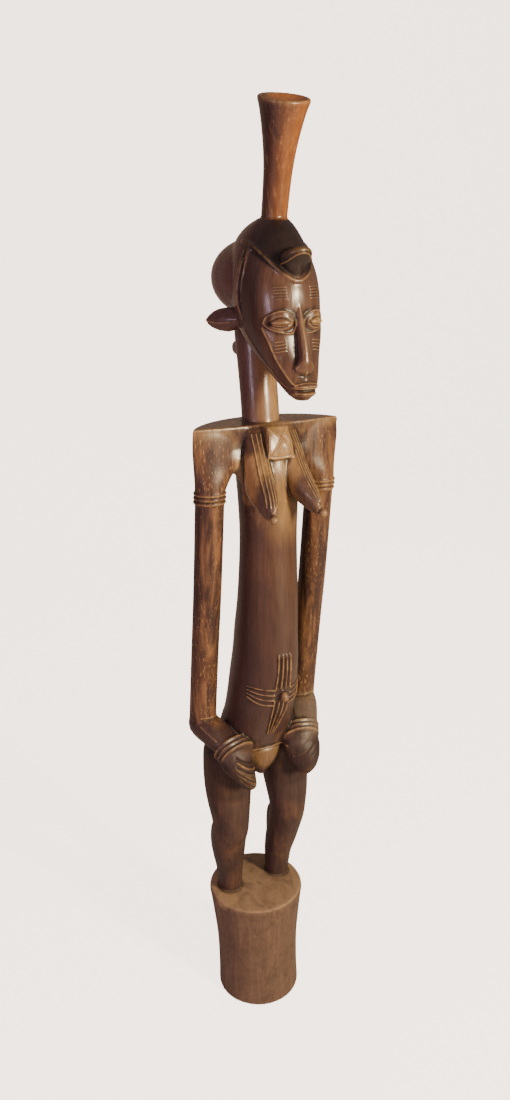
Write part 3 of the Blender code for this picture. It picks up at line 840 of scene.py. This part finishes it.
# Soft step from 0 to 1 between two values
def rise(tree, value, low, high):
    return addNode(tree, "ShaderNodeMapRange", {"interpolation_type": "SMOOTHSTEP"},
                   {"Value": value, "From Min": low, "From Max": high}).outputs[0]


# 1 inside a band, fading over soft
def band(tree, value, low, high, soft):
    above = rise(tree, value, low - soft, low + soft)
    return multiply(tree, above, rise(tree, value, high + soft, high - soft))


# Tone laid over another, each a socket or the name of one of the tones
def blendTone(tree, share, under, over):
    under, over = [tone if isinstance(tone, bpy.types.NodeSocket) else (*tones[tone], 1)
                   for tone in (under, over)]
    return addNode(tree, "ShaderNodeMix", {"data_type": "RGBA"}, {0: share, 6: under, 7: over}).outputs[2]


def grainAt(tree, spot, stretch, scale, detail=3, distort=0):
    seat = addNode(tree, "ShaderNodeMapping", {}, {"Vector": spot, "Scale": stretch}).outputs[0]
    return addNode(tree, "ShaderNodeTexNoise", {}, {"Vector": seat, "Scale": scale, "Detail": detail,
                                                    "Roughness": 0.6, "Distortion": distort}).outputs[0]


def lightness(tree, color, gain):
    return addNode(tree, "ShaderNodeHueSaturation", {}, {"Color": color, "Value": gain}).outputs[0]


def carvedWood():
    wood = bpy.data.materials.new("carvedWood")
    wood.use_nodes = True
    tree = wood.node_tree
    shader = tree.nodes["Principled BSDF"]
    spot = addNode(tree, "ShaderNodeTexCoord", {}, {}).outputs["Object"]
    x, y, z = addNode(tree, "ShaderNodeSeparateXYZ", {}, {"Vector": spot}).outputs
    wide = reckon(tree, "ABSOLUTE", x)
    fine = addNode(tree, "ShaderNodeAttribute", {"attribute_name": "fineBend"}, {}).outputs["Fac"]
    broad = addNode(tree, "ShaderNodeAttribute", {"attribute_name": "broadBend"}, {}).outputs["Fac"]
    clouds = grainAt(tree, spot, (1, 1, 0.6), 22, 4, 0.4)
    streaks = grainAt(tree, spot, (1, 1, 0.07), 330, 4, 0.3)
    long = grainAt(tree, spot, (1, 1, 0.12), 90, 3, 0.6)
    pits = grainAt(tree, spot, (1, 1, 0.5), 800, 2)

    # Where each part of the figure lies, in metres from its middle and above the drum's top
    up = reckon(tree, "SUBTRACT", z, drumTop)
    post = rise(tree, up, 0.7945, 0.7965)
    forward = reckon(tree, "MAXIMUM", rise(tree, y, -0.030, -0.038), rise(tree, up, 0.700, 0.712))
    head = multiply(tree, rise(tree, up, 0.628, 0.632), forward)
    brow = reckon(tree, "SUBTRACT", up, reckon(tree, "ADD", multiply(tree, y, 0.60), 0.8005))
    hair = reckon(tree, "MAXIMUM", rise(tree, brow, -0.001, 0.003),
                  multiply(tree, rise(tree, y, -0.052, -0.047), rise(tree, up, 0.690, 0.712)))
    front = rise(tree, y, -0.070, -0.082)
    arms = multiply(tree, rise(tree, wide, 0.040, 0.046), band(tree, up, 0.250, 0.590, 0.006))
    feet = multiply(tree, band(tree, up, 0.003, 0.232, 0.006), rise(tree, wide, 0.004, 0.010))
    onDrum = rise(tree, up, 0.0040, 0.0022)
    onTop = band(tree, up, -0.0018, 0.0050, 0.0008)

    # Body: a warm front that grows lighter higher up, partly the wood's tone and partly painted light, with
    # flanks in painted shade
    warmth = multiply(tree, rise(tree, y, -0.030, -0.056), rise(tree, clouds, 0.30, 0.62))
    high = reckon(tree, "ADD", multiply(tree, rise(tree, up, 0.20, 0.36), 0.42),
                  multiply(tree, rise(tree, up, 0.35, 0.48), 0.5))
    tone = blendTone(tree, multiply(tree, warmth, high), "shade", "warm")
    behind = rise(tree, y, -0.078, -0.067)
    breasts = reckon(tree, "SUBTRACT", 0.6, multiply(tree, behind, 0.6))
    breasts = multiply(tree, rise(tree, up, 0.49, 0.50), breasts)
    tone = blendTone(tree, breasts, tone, "dull")
    # Painted sheen: golden patches over the upper chest between the shoulders
    chest = multiply(tree, band(tree, up, 0.50, 0.60, 0.03), rise(tree, clouds, 0.42, 0.66))
    chest = multiply(tree, chest, behind)
    tone = blendTone(tree, multiply(tree, chest, 0.7), tone, "wearAndSheen")
    # Painted highlight: a pale streak down the front of the neck, just right of its middle
    throatHighlight = multiply(tree, band(tree, up, 0.485, 0.72, 0.025), rise(tree, y, -0.004, -0.030))
    throatHighlight = multiply(tree, throatHighlight, rise(tree, x, -0.024, 0.010))
    throatHighlight = multiply(tree, throatHighlight, rise(tree, x, 0.034, 0.006))
    throatHighlight = multiply(tree, throatHighlight, behind)
    tone = blendTone(tree, band(tree, up, 0.598, 0.74, 0.004), tone, "lobe")
    tone = blendTone(tree, multiply(tree, throatHighlight, 0.6), tone, "wearAndSheen")
    apron = multiply(tree, band(tree, up, 0.172, 0.211, 0.003), rise(tree, y, -0.018, -0.026))
    apron = multiply(tree, apron, rise(tree, wide, 0.025, 0.019))
    legTone = blendTone(tree, multiply(tree, rise(tree, clouds, 0.48, 0.70), 0.35), "leg", "arm")
    tone = blendTone(tree, multiply(tree, feet, 0.85), tone, legTone)
    # Painted shade: the hands pulled towards the dark hair tone
    handShade = multiply(tree, band(tree, up, 0.150, 0.213, 0.004), rise(tree, wide, 0.024, 0.030))
    tone = blendTone(tree, multiply(tree, handShade, 0.45), tone, "hair")
    tone = blendTone(tree, multiply(tree, apron, 0.3), tone, "wearAndSheen")
    armTone = blendTone(tree, rise(tree, long, 0.40, 0.64), "shade", "arm")
    armTone = blendTone(tree, rise(tree, clouds, 0.50, 0.68), armTone, "warm")
    tone = blendTone(tree, arms, tone, armTone)
    # Painted reflection: an olive tint on the far forearm
    farArmReflection = multiply(tree, band(tree, up, 0.222, 0.257, 0.006), rise(tree, x, 0.036, 0.046))
    tone = blendTone(tree, multiply(tree, farArmReflection, 0.4), tone, "olive")

    # Drum: dull and mottled, paler on top, with a bare patch beside the right foot
    patches = grainAt(tree, spot, (1, 0.6, 1), 55, 4, 0.8)
    drumTone = blendTone(tree, rise(tree, patches, 0.05, 0.56), "leg", "dull")
    drumTone = blendTone(tree, multiply(tree, rise(tree, long, 0.48, 0.72), 0.22), drumTone, "drumTop")
    drumTone = blendTone(tree, multiply(tree, onTop, rise(tree, patches, 0.12, 0.66)), drumTone, "drumTop")
    bare = addNode(tree, "ShaderNodeVectorMath", {"operation": "DISTANCE"},
                   {0: spot, 1: (-0.049, -0.010, drumTop)}).outputs["Value"]
    bare = reckon(tree, "SUBTRACT", bare, multiply(tree, clouds, 0.016))
    drumTone = blendTone(tree, multiply(tree, rise(tree, bare, 0.008, 0.002), 0.8), drumTone, "tan")
    tone = blendTone(tree, onDrum, tone, drumTone)

    # Head and post: warm face between cheeks in painted shade, nearly black hair in front, a post darker on
    # the figure's right side, partly its own tone and partly painted shade
    faceTone = blendTone(tree, multiply(tree, front, rise(tree, clouds, 0.22, 0.55)), "shade", "face")
    faceTone = blendTone(tree, multiply(tree, front, rise(tree, clouds, 0.52, 0.74)), faceTone, "wearAndSheen")
    faceTone = blendTone(tree, hair, faceTone, blendTone(tree, rise(tree, y, -0.066, -0.030), "hair", "lobe"))
    tone = blendTone(tree, head, tone, faceTone)
    postShadeLine = reckon(tree, "ADD", x, multiply(tree, reckon(tree, "SUBTRACT", long, 0.5), 0.02))
    postTone = blendTone(tree, rise(tree, postShadeLine, -0.020, 0.012), "shade", "post")
    postTone = blendTone(tree, multiply(tree, rise(tree, streaks, 0.55, 0.75), 0.3), postTone, "wearAndSheen")
    tone = blendTone(tree, post, tone, postTone)

    # Rubbed crests, painted shade in hollows and broad nooks, grain and pale flecks
    crest = multiply(tree, rise(tree, fine, 30, 190), reckon(tree, "SUBTRACT", 1, onDrum))
    hollow = rise(tree, fine, -25, -170)
    edge = rise(tree, broad, 22, 75)
    nook = rise(tree, broad, -10, -55)
    tone = blendTone(tree, multiply(tree, edge, 0.13), tone, "wearAndSheen")
    worn = multiply(tree, crest, rise(tree, grainAt(tree, spot, (1, 1, 1), 120, 3), 0.25, 0.62))
    faceShare = multiply(tree, rise(tree, up, 0.68, 0.71), 0.45)
    worn = multiply(tree, worn, reckon(tree, "SUBTRACT", 1, faceShare))
    tone = blendTone(tree, multiply(tree, worn, 0.66), tone, "wearAndSheen")
    tone = blendTone(tree, multiply(tree, nook, 0.75), tone, "hollowShade")
    tone = blendTone(tree, multiply(tree, hollow, 0.68), tone, "hollowShade")
    specks = grainAt(tree, spot, (1, 1, 0.2), 800, 2, 0.2)
    specks = reckon(tree, "ADD", specks, multiply(tree, reckon(tree, "SUBTRACT", clouds, 0.5), 0.25))
    fleckShare = reckon(tree, "MAXIMUM", multiply(tree, arms, 0.52), multiply(tree, onDrum, 0.2))
    flecks = multiply(tree, rise(tree, specks, 0.61, 0.71), fleckShare)
    tone = blendTone(tree, flecks, tone, "fleck")
    spread = reckon(tree, "SUBTRACT", 0.29, multiply(tree, onDrum, 0.19))
    gain = addNode(tree, "ShaderNodeMapRange", {}, {"Value": streaks, "From Min": 0.25, "From Max": 0.75,
                                                    "To Min": reckon(tree, "SUBTRACT", 1, spread),
                                                    "To Max": reckon(tree, "ADD", 1, spread)}).outputs[0]
    tree.links.new(lightness(tree, tone, gain), shader.inputs["Base Color"])

    # Polish: glossy head, chest and post, duller belly, arms, legs and drum
    dullness = reckon(tree, "MAXIMUM", multiply(tree, arms, 0.45), onDrum)
    dullness = reckon(tree, "MAXIMUM", dullness, multiply(tree, feet, 0.7))
    dullness = reckon(tree, "MAXIMUM", dullness, multiply(tree, rise(tree, up, 0.54, 0.44), 0.3))
    rough = reckon(tree, "ADD", 0.26, multiply(tree, dullness, 0.32))
    rough = reckon(tree, "ADD", rough, multiply(tree, reckon(tree, "SUBTRACT", clouds, 0.5), 0.22))
    rough = reckon(tree, "ADD", rough, multiply(tree, reckon(tree, "MAXIMUM", hollow, crest), 0.25))
    tree.links.new(rough, shader.inputs["Roughness"])
    matt = reckon(tree, "MAXIMUM", reckon(tree, "MAXIMUM", feet, onDrum), multiply(tree, arms, 0.8))
    shine = reckon(tree, "SUBTRACT", 0.40, multiply(tree, matt, 0.24))
    tree.links.new(shine, shader.inputs["Specular IOR Level"])

    # Fine grain and the marks of the blade
    height = reckon(tree, "ADD", multiply(tree, streaks, 0.5), multiply(tree, long, 0.8))
    cuts = grainAt(tree, spot, (0.5, 1.6, 1), 85, 2, 0.8)
    height = reckon(tree, "ADD", height, multiply(tree, multiply(tree, cuts, dullness), 2.2))
    height = reckon(tree, "ADD", height, multiply(tree, pits, 0.25))
    bump = addNode(tree, "ShaderNodeBump", {},
                   {"Strength": 0.35, "Distance": 0.0006, "Height": height}).outputs[0]
    tree.links.new(bump, shader.inputs["Normal"])
    return wood


figure.data.materials.clear()
figure.data.materials.append(carvedWood())
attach(figure, "root")
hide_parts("figure")
